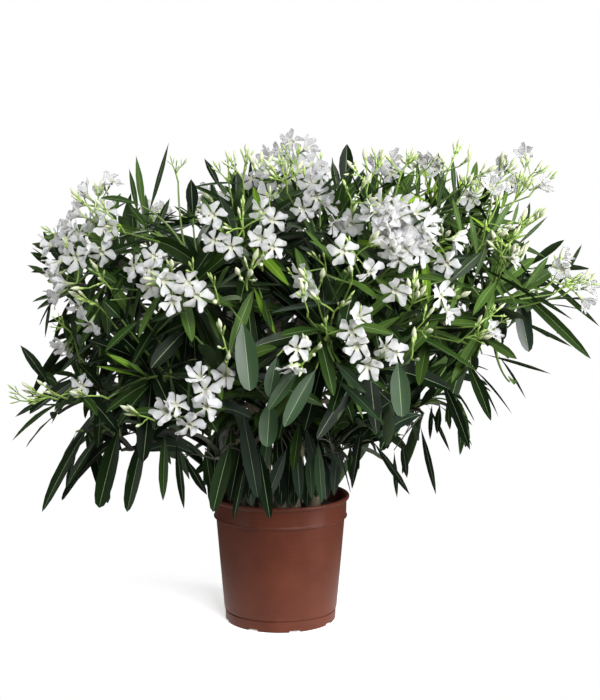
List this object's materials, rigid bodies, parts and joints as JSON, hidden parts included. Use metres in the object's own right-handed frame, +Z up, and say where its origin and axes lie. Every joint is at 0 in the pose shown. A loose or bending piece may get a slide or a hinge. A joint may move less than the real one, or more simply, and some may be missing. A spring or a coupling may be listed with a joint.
{
  "type": "potted oleander",
  "caption": "Bushy evergreen shrub with lance-shaped leaves and clusters of white five-petalled flowers, standing in a round brown nursery pot.",
  "frame": {"origin": "centre of the pot's flat underside, on the surface that the plant stands on", "axes": "+Z up along the pot's axis, -Y towards the viewer's side, +X to the viewer's right, where the crown reaches furthest"},
  "size_m": [1.0128, 0.9477, 0.8415],
  "materials": {
    "pot_plastic": "moulded terracotta brown plastic with a soft sheen",
    "compost": "dark crumbly peat compost",
    "bark": "smooth grey-brown bark with small pores",
    "foliage": "leathery dark green leaves with a pale midrib",
    "green_twigs": "smooth yellow-green young twigs and flower stalks",
    "petals": "soft white petals with a faint sheen"
  },
  "bodies": {
    "root": {"pot": "pot_plastic", "compost": "compost", "stem_front_left": "bark", "stem_front_right": "bark", "stem_right_front": "bark", "stem_right_back": "bark", "stem_back_right": "bark", "stem_back_left": "bark", "stem_left_back": "bark", "stem_left_front": "bark", "stem_middle": "bark", "bough_front_left_middle": "bark", "bough_front_left_low": "bark", "bough_front_right_middle": "bark", "bough_front_right_low": "bark", "bough_right_front_middle": "bark", "bough_right_front_low": "bark", "bough_right_back_middle": "bark", "bough_right_back_low": "bark", "bough_back_right_middle": "bark", "bough_back_right_low": "bark", "bough_back_left_middle": "bark", "bough_back_left_low": "bark", "bough_left_back_middle": "bark", "bough_left_back_low": "bark", "bough_left_front_middle": "bark", "bough_left_front_low": "bark", "bough_top_right": "bark", "bough_top_left": "bark", "bough_front_inner": "bark", "bough_back_inner": "bark", "foliage_front_left_high": "foliage", "foliage_front_left_middle": "foliage", "foliage_front_left_low": "foliage", "foliage_front_right_high": "foliage", "foliage_front_right_middle": "foliage", "foliage_front_right_low": "foliage", "foliage_right_front_high": "foliage", "foliage_right_front_middle": "foliage", "foliage_right_front_low": "foliage", "foliage_right_back_high": "foliage", "foliage_right_back_middle": "foliage", "foliage_right_back_low": "foliage", "foliage_back_right_high": "foliage", "foliage_back_right_middle": "foliage", "foliage_back_right_low": "foliage", "foliage_back_left_high": "foliage", "foliage_back_left_middle": "foliage", "foliage_back_left_low": "foliage", "foliage_left_back_high": "foliage", "foliage_left_back_middle": "foliage", "foliage_left_back_low": "foliage", "foliage_left_front_high": "foliage", "foliage_left_front_middle": "foliage", "foliage_left_front_low": "foliage", "foliage_top_front": "foliage", "foliage_top_right": "foliage", "foliage_top_left": "foliage", "foliage_front_inner": "foliage", "foliage_back_inner": "foliage"}
  },
  "joints": []
}
